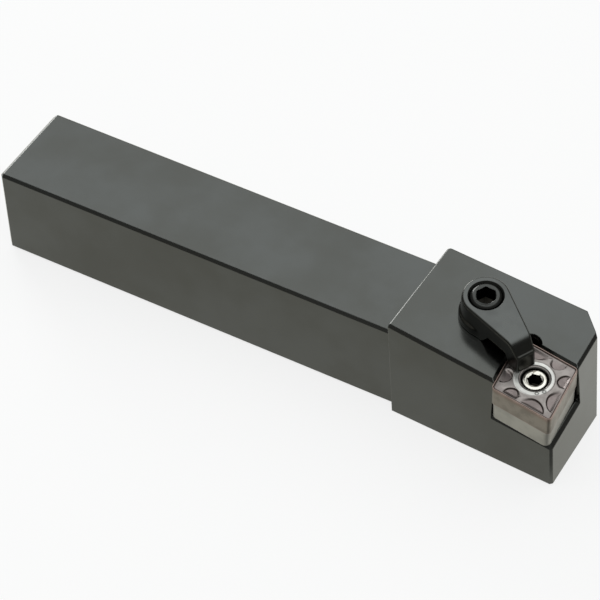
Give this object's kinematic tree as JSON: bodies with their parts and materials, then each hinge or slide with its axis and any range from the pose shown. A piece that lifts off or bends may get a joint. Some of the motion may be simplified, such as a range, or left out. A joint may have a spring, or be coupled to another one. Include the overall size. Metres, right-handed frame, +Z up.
{
  "type": "turning tool holder",
  "caption": "Square-shank steel turning tool holder: its angled head seats a rhombic cutting insert on a shim, held by a threaded pin and a finger clamp that lifts and swings aside.",
  "frame": {"origin": "centre of the shank's bottom face", "axes": "+X along the shank to the cutting nose, +Z up, -Y to the cutting side"},
  "size_m": [0.125, 0.025, 0.0298],
  "materials": {
    "body_black_oxide": "satin",
    "shim_carbide": "satin",
    "pin_steel": "polished",
    "insert_coated": "satin",
    "clamp_black": "gloss",
    "screw_black": "satin"
  },
  "bodies": {
    "holder": {"holder_body": "body_black_oxide", "shim": "shim_carbide", "insert": "insert_coated"},
    "clamp_screw": {"clamp_screw": "screw_black"},
    "clamp": {"clamp": "clamp_black"},
    "lock_pin": {"lock_pin": "pin_steel"}
  },
  "joints": [
    {"name": "clamp_lift", "type": "slide", "parent": "holder", "child": "clamp_screw", "axis": [0.0868, -0.0868, 0.9924], "range_m": [0, 0.004]},
    {"name": "clamp_swing", "type": "hinge", "parent": "clamp_screw", "child": "clamp", "pos_m": [0.05858, -0.00039, 0.02302], "axis": [0.0868, -0.0868, 0.9924], "range_deg": [0, 75]},
    {"name": "lock_pin_turn", "type": "hinge", "parent": "holder", "child": "lock_pin", "pos_m": [0.07324, -0.00814, 0.02106], "axis": [0.0868, -0.0868, 0.9924], "range_deg": [0, 90]}
  ],
  "couplings": [
    {"joint": "clamp_lift", "follows": "clamp_swing", "m_per_rad": 0.0030558}
  ]
}
